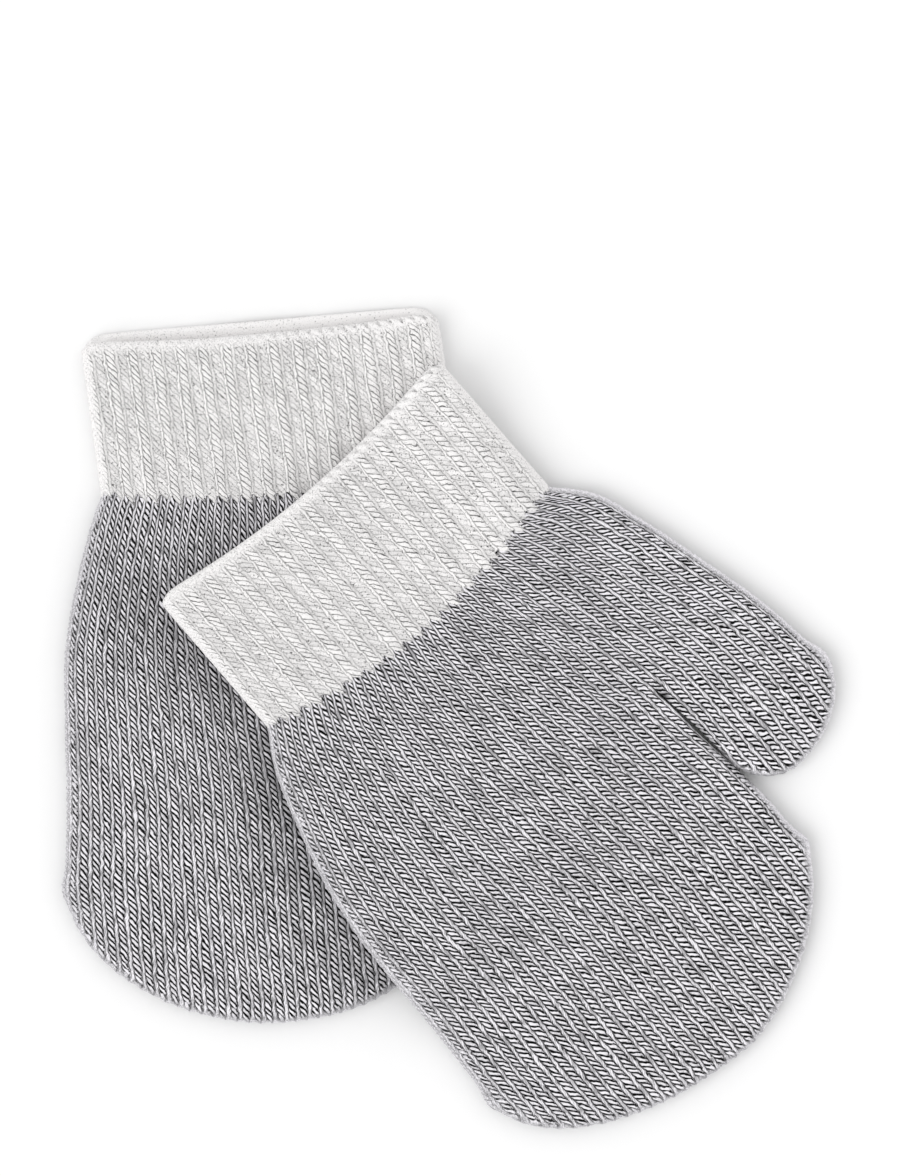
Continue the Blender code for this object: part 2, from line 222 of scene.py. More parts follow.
LOOP_BULGE = 0.20  # stitches bulge out of the outline by this much
ROUGH_BULGE = 0.14  # and unevenly by up to this much more
BULGE_REACH = 0.9
BULGE_GROWTH = (0.5, 2.0)  # it starts this far beyond the seam or the mouth, and grows over this

CUFF_SOFT = (0.4, 1.5)  # the pattern starts this far from a cuff's side, and is full this much further
MOUTH_SOFT = (1.0, 1.4)  # and the same from its mouth
CUFF_LIT = 0.05  # a cuff's right side looks this much lighter

RIB_RISE = 0.5
RIB_CREST = 0.3  # place of a rib's crest, in wales
RIB_START = 2.2  # plain turned edge above the first rib
RIB_FULL = 4.0  # ribs have their full height from here
CORNER = 1.1  # the mouth's corners are rounded by this much
CORNER_POWER = 26
CORNER_REACH = 6.0
LIP = 0.5 * WALL  # radius of the turned edge at the mouth
LIP_ANGLES = (8.0, 30.0, 52.0, 72.0, 90.0)

RIB_FADE = 0.5  # share of the ribs that is left in the hand's first courses
RIB_TRAIL = 7.0  # and how far it takes to fade out

# A smooth unevenness: by how much, the length and width of its patches, and its seed.
Uneven = namedtuple("Uneven", "amount length width seed")
VALLEY_RAGGED = Uneven(0.7, 0.6, 0.5, 11)  # of the darkness between fingers and thumb
TUCK_RAGGED = Uneven(0.6, 0.5, 0.4, 12)
ROUGHNESS = Uneven(1.0, 0.8, 0.8, 9)  # of the outline
SINKING = {1: Uneven(1.0, 13.0, 11.0, 6), -1: Uneven(1.0, 13.0, 11.0, 4)}  # of front and back

# The uneven pull of the yarn along and across the mitten. Its patches are in wales and courses.
ALONG_PULLS = (Uneven(0.16, 4.0, 3.0, 1), Uneven(0.10, 0.9, 1.4, 7))
ACROSS_PULLS = (Uneven(0.20, 1.6, 8.0, 2), Uneven(0.13, 1.1, 3.4, 8))
PULL_SIDE = 3.0  # it has its full strength this far from the sides
PULL_END = 4.0  # and this far from a column's ends

PLAIN_WALES = 2.0  # on the inner faces, columns stand at most this many wales apart
PLAIN_STEP = 3.0
CLOSE = 1e-6  # places nearer than this are the same
TINY = 1e-9  # keeps the length of a stretch above zero

# A column of points: its wale, the points' numbers and their places along the mitten.
Column = namedtuple("Column", "wale ids at")

# The faces of a flat tube, outer and then inner: the inset and the side, 1 in front and -1 behind.
FACES = ((0.0, 1), (0.0, -1), (WALL, 1), (WALL, -1))

# Where a patch lies in the flat layout of a piece, and its scale there.
Slot = namedtuple("Slot", "x y scale")
HAND_SLOTS = (
    Slot(0.01, 0.01, 0.0063),
    Slot(0.66, 0.01, 0.0033),
    Slot(0.66, 0.36, 0.0020),
    Slot(0.66, 0.58, 0.0020),
)
CUFF_SLOTS = (
    Slot(0.01, 0.01, 0.0142),
    Slot(0.01, 0.48, 0.0085),
    Slot(0.60, 0.48, 0.0055),
    Slot(0.60, 0.67, 0.0055),
)
BAND_START = 0.87  # bands lie above one another from here
BAND_STEP = 0.008
BAND_SHARE = 0.6  # and take this share of their step
BAND_ENDS = (0.01, 0.99)
RING_SHARE = 0.999  # keys of a ring's two rows keep this share, so that the rows stay apart

# A soft trough: its mitten, its face (1 in front, -1 at the back), its middle, its turn from the
# wales' direction in degrees, half its length, its width and its depth.
Crease = namedtuple("Crease", "cut side along across turn length width depth")
CREASES = (
    Crease(OVER, 1, 54.0, 7.0, 62.0, 15.0, 2.2, 0.35),
    Crease(OVER, 1, 71.0, 8.8, 35.0, 11.0, 1.8, 0.45),
    Crease(OVER, 1, 62.0, 27.0, -18.0, 16.0, 2.6, 0.40),
    Crease(OVER, 1, 92.0, -18.0, 74.0, 20.0, 4.5, 0.35),
    Crease(OVER, 1, 108.0, 6.0, 58.0, 16.0, 3.6, 0.30),
    Crease(OVER, 1, 41.0, -21.0, 12.0, 13.0, 3.2, 0.30),
    Crease(OVER, -1, 58.0, -6.0, 70.0, 22.0, 4.0, 0.40),
    Crease(OVER, -1, 84.0, 9.0, 40.0, 17.0, 3.0, 0.35),
    Crease(OVER, -1, 103.0, -14.0, 82.0, 19.0, 4.6, 0.30),
    Crease(OVER, -1, 66.0, 30.0, -25.0, 12.0, 2.4, 0.35),
    Crease(UNDER, 1, 49.0, -16.0, 66.0, 18.0, 3.4, 0.35),
    Crease(UNDER, 1, 78.0, -24.0, 48.0, 14.0, 2.8, 0.40),
    Crease(UNDER, 1, 101.0, -10.0, 76.0, 19.0, 4.2, 0.30),
    Crease(UNDER, 1, 60.0, 28.0, -20.0, 13.0, 2.6, 0.35),
    Crease(UNDER, -1, 52.0, 4.0, 64.0, 20.0, 3.8, 0.35),
    Crease(UNDER, -1, 86.0, -12.0, 80.0, 22.0, 4.4, 0.30),
    Crease(UNDER, -1, 63.0, 29.0, -22.0, 12.0, 2.6, 0.35),
)

# Small tucks where stitches are drawn together, darkened with painted shade. Here the depth says how dark.
TUCKS = (
    Crease(OVER, 1, 71.3, 24.9, 12.0, 2.5, 0.70, 0.50),
    Crease(OVER, 1, 71.2, 8.8, 25.0, 1.8, 0.45, 0.42),
    Crease(OVER, 1, 71.6, 10.1, 75.0, 1.3, 0.35, 0.25),
)
TUCK_SINK = 0.9  # how much deeper a wholly dark tuck would lie
SINK = 0.28  # the faces lie up to twice this deeper where the yarn pulls
CREASE_REACH = 9.0  # creases fade out towards the edges over this distance

# Where the closing seam of a round end sticks out: its place, its reach and its rise.
Ear = namedtuple("Ear", "cut along across reach rise")
EARS = (
    Ear(OVER, 84.2, 51.1, 2.6, 0.9),
    Ear(OVER, 108.3, 26.9, 2.4, 0.8),
    Ear(OVER, 106.6, -46.2, 2.2, 0.7),
    Ear(UNDER, 97.0, -43.6, 2.4, 0.6),
    Ear(UNDER, 97.5, 26.8, 2.4, 0.6),
    Ear(UNDER, 81.0, 49.6, 2.4, 0.7),
)

HAND_FILL = 0.86  # share of the hand's rectangle that the cut fills

TONES = ((0.0, 0.0), (0.25, 0.035), (0.5, 0.165), (0.75, 0.435), (1.0, 0.89))  # tone and lightness
WALE_PULL = 0.36  # the yarn's uneven pull moves the colours by up to half this many wales
COURSE_PULL = 0.50  # and half this many courses
RIGHT_DROP = 0.5  # a right leg falls this much further than the left one rises, in courses
LEAF_LEAN = 0.22  # a right leg's line sways by this share of its width with each stitch
LEAF_EDGE = 0.26  # and is soft over this share of it on either side
DASH_EDGE = 0.3  # a dash grows over this much of a course
THINNED = 0.25  # in its middle, a left leg's gap is thinner by this share
THIN_SPREAD = 0.35  # at its ends it is wider by up to this share
GROOVE_START = 0.01  # the grooves beside a left leg: where they are deep, in wales from its sides,
GROOVE_END = 0.11  # and where they end

# Noise in the colours: the size of its patches and their detail.
PULL_NOISE = (1.3, 1.0)  # moves the pattern
CLOSE_NOISE = (1.7, 1.0)  # says where strokes lie close together
FIBRE_NOISE = (0.26, 3.0)
SPECK_NOISE = (0.34, 1.0)
PATCH_NOISE = (6.0, 2.0)
BUMP_NOISE = (0.22, 2.0)
BUMP_DEPTH = 0.12

# Where gentle changes in the colours start and end.
CLOSE_RANGE = (0.58, 0.70)  # in the noise
CLOSE_SHARE = 0.5  # share of a gap's depth that is lost where strokes lie close together
SPECK_RANGE = (0.60, 0.74)  # in the noise
UNDER_RANGE = (0.45, 0.9)  # in a course: a stroke's far side, in painted shade
LATER_RANGE = (0.25, 0.75)  # in a course: from one end of the gap to the other
TRAIL_RANGE = (0.5, 4.0)  # in courses from the seam: the cuff's white ends

ROOM_LIGHT = 0.93
LAMP_LIGHT = 0.86
LAMP_WIDTH = 46.0  # angles of the lamp, in degrees: its width in the sky,
LAMP_TILT = 42.0  # its lean from straight above
LAMP_TURN = 30.0  # and the turn of that lean

FLOOR_HALF = 2.0  # in metres
FLOOR_COLOUR = (0.918, 0.918, 0.918)
CAMERA_HEIGHT = 1.6  # in metres
PIXEL = 0.18  # size of the photo's pixels on the pair
FRAME_PIXELS = 1176  # height of the photo
SENSOR = 36.0
FRAME_CENTRE = (-0.01, 23.35)  # where the middle of the photo lies
FRAME_LEVEL = 3.0  # height at which the pixels have that size


def eased(share):
    """Turn an even change from 0 to 1 into one that starts and ends gently."""
    share = np.clip(share, 0.0, 1.0)
    return share * share * (3.0 - 2.0 * share)


def fading(distance, reach):
    """1 at no distance, 0 from the reach on, and a gentle fall between them."""
    return 1.0 - eased(distance / reach)


def grown(value, start, reach):
    """0 up to the start, 1 from one reach beyond it, and a gentle rise between them."""
    return eased((value - start) / reach)


def arc(share, power):
    """Height of a rounded end's curve at a share of its half width. With power 2 it is an ellipse."""
    return (1.0 - share**power) ** (1.0 / power)


def scatter(one, other, seed):
    """A number from 0 to 1 for each pair of whole numbers, spread without a pattern."""
    value = np.sin(one * 127.1 + other * 311.7 + seed * 74.7) * 43758.5453
    return value - np.floor(value)


def varied(shares, one, other, seed):
    """The first share and up to the second one more, for each pair of whole numbers."""
    return shares[0] + shares[1] * scatter(one, other, seed)


def drift(one, other, seed):
    """A smooth number from -1 to 1 that wanders from place to place."""
    column = np.floor(one)
    row = np.floor(other)
    right = eased(one - column)
    up = eased(other - row)
    low = scatter(column, row, seed) * (1.0 - right) + scatter(column + 1, row, seed) * right
    high = scatter(column, row + 1, seed) * (1.0 - right) + scatter(column + 1, row + 1, seed) * right
    return 2.0 * (low + (high - low) * up) - 1.0


def unevenness(kind, places):
    """An unevenness at places given as two columns."""
    return kind.amount * drift(places[:, 0] / kind.length, places[:, 1] / kind.width, kind.seed)


def wave(turns):
    """A wave from 0 up to 1 and back to 0 in each turn."""
    return 0.5 * (1.0 - np.cos(2.0 * pi * turns))


def smooth_value(rows, column, at):
    """Read one column of a table of rows at the place "at", on a smooth curve through the rows."""
    places = np.array([row.along for row in rows])
    values = np.array([getattr(row, column) for row in rows])
    slopes = np.gradient(values, places)
    at = np.asarray(at, dtype=float)
    first = np.clip(np.searchsorted(places, at) - 1, 0, len(places) - 2)
    span = places[first + 1] - places[first]
    share = (at - places[first]) / span
    rise = share * share * (3.0 - 2.0 * share)
    leave = share * (1.0 - share) ** 2 * span * slopes[first]
    arrive = share * share * (share - 1.0) * span * slopes[first + 1]
    return values[first] * (1.0 - rise) + values[first + 1] * rise + leave + arrive


def spaced(start, end, step):
    """Evenly spaced places from start to end, no further apart than the step."""
    return np.linspace(start, end, ceil((end - start) / step) + 1)


def shoulder_of(cut):
    """Place where the fingers' straight sides end and the round tip begins."""
    return cut.hand[-1].along


def left_edge(cut, at, inset):
    """Left side of the hand, straight on past the shoulder."""
    return smooth_value(cut.hand, "left", np.minimum(at, shoulder_of(cut))) + inset


def right_edge(cut, at, inset):
    """Right side of the hand: the palm's, and then the thumb's."""
    return smooth_value(cut.hand, "right", np.minimum(at, cut.thumb_end)) - inset


def notch_edges(cut, at, inset):
    """The fingers' right edge and the thumb's left edge, either side of the notch between them."""
    root = cut.notch.along - inset
    radius = NOTCH_HALF + inset
    start = 1.0 - np.clip((at - root) / radius, 0.0, 1.0)
    beyond = np.maximum(0.0, at - cut.notch.along)
    middle = cut.notch.across + cut.notch.lean * beyond
    half = (radius + NOTCH_OPENING * beyond) * np.sqrt(1.0 - start * start)
    return np.minimum(middle - half, cut.fingers_right - inset), middle + half


def notch_opening(root, inset, steps):
    """Places along the round root of the notch."""
    return root + (NOTCH_HALF + inset) * (1.0 - np.cos(np.linspace(0.0, 0.5 * pi, steps)))


def crotch_line(cut, at, inset):
    """Across place, in the palm, of the column that runs to the crotch."""
    root = cut.notch.along - inset
    seam = cut.hand[0]
    left = left_edge(cut, root, inset)
    share = (cut.notch.across - left) / (right_edge(cut, root, inset) - left)
    start = seam.left + inset + share * (seam.right - seam.left - 2.0 * inset)
    return start + (at - seam.along) / (root - seam.along) * (cut.notch.across - start)


def round_end(tip, shoulder, left, right, inset):
    """Outline of a round end, from its left shoulder over the tip to its right one."""
    shares = np.sin(np.linspace(0.0, 0.5 * pi, ARC_STEPS))
    at = shoulder + shares * (tip.along - inset - shoulder)
    low = tip.across - (tip.across - left) * arc(shares, tip.left_power)
    high = tip.across + (right - tip.across) * arc(shares, tip.right_power)
    return np.vstack([np.column_stack([at, low]), np.column_stack([at, high])[-2::-1]])


def nearest(points, line):
    """Distance from each point to a line of straight stretches, and which way is away from it.

    For a point on the line itself, that is the way to the right of the line.
    """
    start = line[:-1]
    step = line[1:] - start
    offset = points[:, None, :] - start[None, :, :]
    share = (offset * step).sum(axis=2) / np.maximum((step * step).sum(axis=1), TINY)
    away = offset - np.clip(share, 0.0, 1.0)[:, :, None] * step
    length = np.sqrt((away * away).sum(axis=2))
    best = length.argmin(axis=1)
    rows = np.arange(len(points))
    length = length[rows, best]
    right = np.column_stack([-step[best, 1], step[best, 0]])
    way = np.where((length < TOUCHING)[:, None], right, away[rows, best])
    return length, way / np.sqrt((way * way).sum(axis=1))[:, None]


def inside_line(points, line):
    """Whether each point lies inside a line closed by its two ends."""
    start = line
    end = np.roll(line, -1, axis=0)
    px = points[:, None, 0]
    py = points[:, None, 1]
    spans = (start[:, 1] > py) != (end[:, 1] > py)
    rise = np.where(end[:, 1] == start[:, 1], 1.0, end[:, 1] - start[:, 1])
    crossing = start[:, 0] + (py - start[:, 1]) / rise * (end[:, 0] - start[:, 0])
    return (np.sum(spans & (px < crossing), axis=1) % 2) == 1


class HandEdge:
    """Outline of a hand, cut into its two outer sides and the notch between fingers and thumb."""

    def __init__(self, cut, inset):
        self.root = cut.notch.along - inset
        start = cut.hand[0].along - MARGIN
        shoulder = shoulder_of(cut)
        end = cut.thumb_end
        at = spaced(start, shoulder, OUTLINE_STEP)[:-1]
        side = np.column_stack([at, left_edge(cut, at, inset)])
        bounds = float(left_edge(cut, shoulder, inset)), float(notch_edges(cut, shoulder, inset)[0])
        self.left = np.vstack([side, round_end(cut.fingertip, shoulder, *bounds, inset)])
        at = spaced(start, end, OUTLINE_STEP)[-2::-1]
        side = np.column_stack([at, right_edge(cut, at, inset)])
        bounds = float(notch_edges(cut, end, inset)[1]), float(right_edge(cut, end, inset))
        self.right = np.vstack([round_end(cut.thumbtip, end, *bounds, inset), side])

        opening = notch_opening(self.root, inset, NOTCH_STEPS)
        sides = []
        for number, last in enumerate((shoulder, end)):
            at = np.concatenate([opening, spaced(opening[-1], last, OUTLINE_STEP)[1:]])
            sides.append(np.column_stack([at, notch_edges(cut, at, inset)[number]]))
        self.notch = np.vstack([sides[0][:0:-1], sides[1]])

    def measure(self, plan):
        """How far points lie from the outline, which way is inwards, how clear the pattern is or how much
        painted light its rim gets, and how much painted shade darkens it there.
        """
        away, inwards = nearest(plan, self.left)
        pale = PALE_SHARE * fading(away, PALE_REACH) * np.maximum(0.0, inwards[:, 1])
        closed = np.zeros(len(plan))
        shade = np.zeros(len(plan))
        for line in (self.right, self.notch):
            other, way = nearest(plan, line)
            hidden = np.zeros(len(plan))
            if line is self.notch:
                beyond = plan[:, 0] - self.root
                other = other + CROTCH_LIFT * fading(beyond, CROTCH_REACH)
                hidden = CLOSED * (1.0 - grown(beyond, *CLOSED_END))
                depth = hidden / CLOSED * grown(beyond, *VALLEY_GROWTH)
                reach = VALLEY_REACH * (1.0 + unevenness(VALLEY_RAGGED, plan))
                shade = VALLEY_SHADE * depth * fading(nearest(plan, line)[0], reach)
            closer = other < away
            away = np.where(closer, other, away)
            closed = np.where(closer, hidden, closed)
            inwards = np.where(closer[:, None], way, inwards)
        clear = eased((away + closed) / SOFT_REACH) * (1.0 - pale)
        # Painted light on the fibres at the right sides and tips, given as a fullness below 0.
        facing = eased(0.5 - 0.5 * inwards[:, 1]) * (1.0 - closed / CLOSED)
        rim = RIM_LIGHT * facing * fading(away, RIM_REACH)
        return away, inwards, clear - (clear + 1.0) * rim, shade


def hidden_by_turn(length, radius):
    """How much of a stretch of knit, taken inwards from a rounded side, the view from above loses."""
    near = np.minimum(length, 0.5 * pi * radius)
    return near - radius * (1.0 - np.cos(near / radius))


def rolled(share, width, left_turn, right_turn, radius):
    """Across distance for a share of the knit's width. Turns say how far each side rolls under."""
    spare = (0.5 * pi - 1.0) * radius
    girth = width + spare * (left_turn + right_turn)
    place = share * girth
    lost_right = spare - hidden_by_turn(girth - place, radius)
    return place - left_turn * hidden_by_turn(place, radius) - right_turn * lost_right


def rib_wale(wale):
    """The cuff's wale that meets a wale of the hand."""
    return wale * CUFF_WALES / HAND_WALES - RIB_PLACE


def seam_jag(place):
    """Zigzag of the seam, with one point for each wale of the cuff."""
    share = np.mod(place, 1.0)
    left = CUFF_FACE.left_share
    rise = np.where(share < left, share / left, (1.0 - share) / (1.0 - left))
    uneven = varied(JAG_VARIES, np.floor(place), 0.0, 6)
    return SEAM_REACH * (rise * uneven - 0.5)


class Part:
    """Wales of a mitten's one face that run side by side, between a left and a right bound.

    Its subclasses say where the bounds are, and where each wale starts and ends.
    """

    def __init__(self, cut, inset):
        self.cut = cut
        self.inset = inset

    def inset_at(self, at):
        return np.full(len(at), self.inset)

    def pattern_at(self, at):
        """How clear the pattern is along the mitten, apart from its sides."""
        return np.ones(len(at))

    def courses(self, wale, at):
        """Number of the row of stitches at these places of a wale."""
        return (at - self.base) / self.course

    def across(self, wale, at):
        """Across place of a wale at distances from the mouth."""
        left, right, left_turn, right_turn = self.bounds(at)
        share = (wale - self.first) / (self.last - self.first)
        radius = ROUND - self.inset_at(at)
        return left + rolled(share, right - left, left_turn, right_turn, radius)


class HandPart(Part):
    """Palm and fingers, or palm and thumb. The column that runs to the crotch parts the two."""

    inner_look = 0.0  # how clear the pattern is inside. Below 0 it gets painted light and is lighter than plain knit
    bears_shade = True
    bulge = 1.0  # share of the outline's bulges

    def __init__(self, cut, inset, edge, is_thumb):
        super().__init__(cut, inset)
        self.edge = edge
        self.is_thumb = is_thumb
        self.first, self.last = (FINGER_WALES, HAND_WALES) if is_thumb else (0, FINGER_WALES)
        self.tip = cut.thumbtip if is_thumb else cut.fingertip
        self.shoulder = cut.thumb_end if is_thumb else shoulder_of(cut)
        self.root = cut.notch.along - inset
        self.base = cut.hand[0].along
        self.course = (cut.notch.along - self.base) / CROTCH_COURSES
        self.corner = (min(row.left for row in cut.hand), self.base - MARGIN)

    def bounds(self, at):
        """The part's sides, and how far each rolls under: at the notch, not at all in the palm."""
        beyond = notch_edges(self.cut, np.minimum(at, self.shoulder), self.inset)[int(self.is_thumb)]
        inner = np.where(at < self.root, crotch_line(self.cut, at, self.inset), beyond)
        turn = eased((at - self.root) / CROTCH_REACH)
        if self.is_thumb:
            return inner, right_edge(self.cut, at, self.inset), turn, 1.0
        return left_edge(self.cut, at, self.inset), inner, 1.0, turn

    def bow(self, across, at):
        """How far a row bends towards the fingertips."""
        height = smooth_value(self.cut.hand, "bow", np.minimum(at, shoulder_of(self.cut)))
        left = left_edge(self.cut, at, self.inset)
        right = right_edge(self.cut, at, self.inset)
        share = (2.0 * across - left - right) / (right - left)
        return height * (1.0 - share * share)

    def courses(self, wale, at):
        """Rows keep the seam's curve and bend more further on, where the points' own rows are straight."""
        seam = self.cut.hand[0]
        half = 0.5 * (seam.right - seam.left)
        across = self.across(wale, at) - 0.5 * (seam.left + seam.right)
        first = 2.0 * seam.bow / half**2
        curve = first + (ROW_CURVE - first) * eased((at - self.base) / ROW_GROWTH)
        ahead = 0.5 * curve * (half**2 - across**2)
        return (at + self.bow(self.across(wale, at), at) - ahead - self.base) / self.course

    def measure(self, plan, across, at):
        return self.edge.measure(plan)

    def heads(self, wale):
        """Place of a wale's first point. The hand's first stitches fit the cuff's last ones."""
        return np.array([self.base if self.inset else self.base + seam_jag(rib_wale(wale)) - SEAM_PAST])

    def tails(self, wale):
        """Places of a wale's last points."""
        return self.end(wale) - np.array(END_STEPS)

    def end(self, wale):
        """Distance from the mouth at which a wale runs out into the round end."""
        tip = self.tip
        at = np.array([self.shoulder])
        left, right, _, _ = (float(np.squeeze(value)) for value in self.bounds(at))
        across = float(self.across(wale, at)[0])
        if across < tip.across:
            share = (tip.across - across) / (tip.across - left)
            power = tip.left_power
        else:
            share = (across - tip.across) / (right - tip.across)
            power = tip.right_power
        return self.shoulder + arc(min(1.0, share), power) * (tip.along - self.inset - self.shoulder)


class Cuff(Part):
    """One face of a cuff. Side is 1 on the front layer and -1 on the back."""

    first = -RIB_PLACE
    last = CUFF_WALES - RIB_PLACE
    root = None
    # The inner faces get painted light, which lifts the shade in the slit at the mouth.
    inner_look = -0.7
    bears_shade = False
    bulge = 0.3

    def __init__(self, cut, inset, side):
        super().__init__(cut, inset)
        self.side = side
        self.mouth, self.seam = cut.cuff
        self.base = self.mouth.along
        self.course = (self.seam.along - self.base) / CUFF_COURSES
        self.corner = (self.mouth.left - MARGIN, self.base)

    def pattern_at(self, at):
        return grown(at - self.base, *MOUTH_SOFT)

    def way(self, at):
        return (at - self.base) / (self.seam.along - self.base)

    def on_way(self, column, at):
        """One column of the cut, evenly from the mouth to the seam."""
        start = getattr(self.mouth, column)
        return start + self.way(at) * (getattr(self.seam, column) - start)

    def inset_at(self, at):
        """The inset, with a half round lip at the mouth."""
        before = np.clip(1.0 - (at - self.base) / LIP, 0.0, 1.0)
        rounding = LIP * (1.0 - np.sqrt(1.0 - before * before))
        return self.inset + rounding * (1.0 if self.inset == 0.0 else -1.0)

    def bounds(self, at):
        inset = self.inset_at(at)
        return self.on_way("left", at) + inset, self.on_way("right", at) - inset, 1.0, 1.0

    def bow(self, across, at):
        left, right, _, _ = self.bounds(at)
        share = np.clip(np.abs(2.0 * across - left - right) / (right - left), 0.0, 1.0)
        way = self.way(at)
        corner = CORNER * share**CORNER_POWER * fading(at - self.base, CORNER_REACH)
        if self.side > 0:
            return corner + self.on_way("bow", at) * (1.0 - share**2)
        back = (1.0 - way) * self.cut.back.bow * (1.0 - share**self.cut.back.power)
        return corner + way * self.seam.bow * (1.0 - share**2) + back

    def measure(self, plan, across, at):
        """The same as for a hand. The pattern is faint at the sides and lost at the mouth."""
        left, right, _, _ = self.bounds(at)
        from_left = np.maximum(0.0, across - left)
        from_right = np.maximum(0.0, right - across)
        inwards = np.column_stack([np.zeros(len(at)), np.where(from_left < from_right, 1.0, -1.0)])
        away = np.minimum(from_left, from_right)
        beside = grown(away, *CUFF_SOFT)
        lit = eased((from_left - from_right) / (right - left))
        return away, inwards, beside * self.pattern_at(at), -CUFF_LIT * lit

    def heads(self, wale):
        """Places of a wale's first points, on the rounded lip."""
        return self.base + LIP * (1.0 - np.cos(np.radians(LIP_ANGLES)))

    def tails(self, wale):
        """Place of a wale's last point."""
        end = self.seam.along
        return np.array([end if self.inset else end + seam_jag(wale) + SEAM_PAST])


def to_floor(cut, plan):
    """Move points from a mitten's own plane to their place on the floor."""
    turn = radians(cut.turn)
    along = np.array((np.cos(turn), np.sin(turn)))
    across = np.array((-np.sin(turn), np.cos(turn)))
    return np.array(cut.mouth) + plan[:, :1] * along + plan[:, 1:] * across


def whole_outline(cut):
    """The mitten's outline on the floor, as a line closed by its two ends."""
    edge = HandEdge(cut, 0.0)
    left = np.array([(row.along, row.left) for row in cut.cuff])
    right = np.array([(row.along, row.right) for row in reversed(cut.cuff)])
    return to_floor(cut, np.vstack([left, edge.left, edge.notch, edge.right, right]))


UNDER_OUTLINE = whole_outline(UNDER)
OVER_OUTLINE = whole_outline(OVER)


def distance_outside(places, outline):
    """Distance from each place to an outline, 0 for places inside it."""
    closed = np.vstack([outline, outline[:1]])
    return np.where(inside_line(places, outline), 0.0, nearest(places, closed)[0])


def rest_height(cut, places):
    """Height of whatever a mitten lies on: the floor, or the top of the mitten below it."""
    if cut is UNDER:
        return np.zeros(len(places))
    return (LAID + GAP) * fading(distance_outside(places, UNDER_OUTLINE), DRAPE_REACH)


def troughs(creases, cut, side, plan):
    """Summed depth of those creases that lie on this face of the mitten."""
    depth = np.zeros(len(plan))
    for crease in creases:
        if crease.cut is not cut or crease.side != side:
            continue
        turn = radians(crease.turn)
        along = plan[:, 0] - crease.along
        across = plan[:, 1] - crease.across
        lengthwise = (along * np.cos(turn) + across * np.sin(turn)) / crease.length
        sideways = (across * np.cos(turn) - along * np.sin(turn)) / crease.width
        depth += crease.depth * np.exp(-sideways * sideways) * (1.0 - eased(np.abs(lengthwise)))
    return depth


def crease_depth(cut, side, plan):
    """How far creases and the yarn's uneven pull lower the face at these points."""
    return SINK * (1.0 + unevenness(SINKING[side], plan)) + troughs(CREASES, cut, side, plan)


def tuck_shade(cut, side, plan):
    """How much painted shade darkens the knit in the tucks, with ragged sides."""
    return (1.0 + unevenness(TUCK_RAGGED, plan)) * troughs(TUCKS, cut, side, plan)


def rib_depth(part, wale, at):
    """How far a rib's flank lowers the cuff's face. The hand's first courses still follow the ribs."""
    if isinstance(part, Cuff):
        height = grown(at - part.base, RIB_START, RIB_FULL - RIB_START)
        place = wale
    else:
        height = RIB_FADE * fading(at - part.base, RIB_TRAIL)
        place = rib_wale(wale)
    return RIB_RISE * height * wave((place - RIB_CREST) / RIB_WALES)


def wandering(part, wale, at, away):
    """How far the uneven pull of the yarn moves a wale's points, less near the edges."""
    free = eased(away / PULL_SIDE) * eased((at - at[0]) / PULL_END) * eased((at[-1] - at) / PULL_END)
    counted = np.column_stack([np.full(len(at), float(wale)), part.courses(wale, at)])
    ways = []
    for pulls in (ALONG_PULLS, ACROSS_PULLS):
        ways.append(free * sum(unevenness(pull, counted) for pull in pulls))
    return np.column_stack(ways)


def bulge_at(cut, part, wale, at, plan, away, inwards):
    """How far the outline is pushed out: by each stitch, by the yarn's roughness and by ears."""
    courses = part.courses(wale, at)
    side_loop = wave(courses) * np.abs(inwards[:, 1])
    end_loop = wave(wale) * np.abs(inwards[:, 0])
    uneven = 0.5 * (1.0 + unevenness(ROUGHNESS, plan))
    bulge = part.bulge * (LOOP_BULGE * (side_loop + end_loop) + ROUGH_BULGE * uneven)
    bulge = bulge * grown(at - part.base, *BULGE_GROWTH)
    for ear in EARS:
        if ear.cut is cut:
            distance = (plan[:, 0] - ear.along) ** 2 + (plan[:, 1] - ear.across) ** 2
            bulge = bulge + ear.rise * np.exp(-distance / (ear.reach * ear.reach))
    return bulge * np.exp(-away / BULGE_REACH)


def shear(weave, number, place):
    """How many courses the strokes of a wale's left leg have risen at a place across the wale."""
    if place > weave.left_share:
        return 0.0
    share = place / weave.left_share
    rise = weave.rise + weave.turn * number
    return rise * share * (1.0 - STROKE_BEND + STROKE_BEND * share)


def woven_line(part, weave, number, line):
    """Places and depths of one line's points, from the wale's first stitch to its last."""
    wale = number + line.place
    heads = part.heads(wale)
    tails = part.tails(wale)
    grid = spaced(heads[-1] + START_CLEAR, tails[0] - START_CLEAR, OUTLINE_STEP)
    counted = part.courses(wale, grid) - shear(weave, number, line.place)
    rows = np.arange(ceil(counted[0] * line.rows), floor(counted[-1] * line.rows) + 1)
    quarters = rows * (len(GAP_SHARES) // line.rows)
    stitches = quarters // len(GAP_SHARES)
    share = np.array(GAP_SHARES)[np.mod(quarters, len(GAP_SHARES))]
    if number % RIB_WALES:
        share = share * weave.odd
    gap = line.gap * varied(GAP_VARIES, number, stitches, 3)
    crest = line.crest + CREST_SPREAD * scatter(number, stitches, 4)
    depth = crest + share * np.maximum(0.0, gap - crest)
    depth = np.concatenate([np.full(len(heads), HEAD_DEPTH), depth, np.zeros(len(tails))])
    return np.concatenate([heads, np.interp(rows / line.rows, counted, grid), tails]), depth


def plain_line(part, wale):
    """Places of one column's points on an inner face. The column at the crotch has a point there."""
    heads = part.heads(wale)
    tails = part.tails(wale)
    start, end = heads[-1], tails[0]
    if part.root is None:
        return np.concatenate([heads[:-1], spaced(start, end, PLAIN_STEP), tails[1:]])
    opening = notch_opening(part.root, part.inset, PLAIN_NOTCH_STEPS)
    before = spaced(start, part.root, PLAIN_STEP)
    beyond = spaced(opening[-1], end, PLAIN_STEP)
    return np.concatenate([heads[:-1], before[:-1], opening[:-1], beyond, tails[1:]])


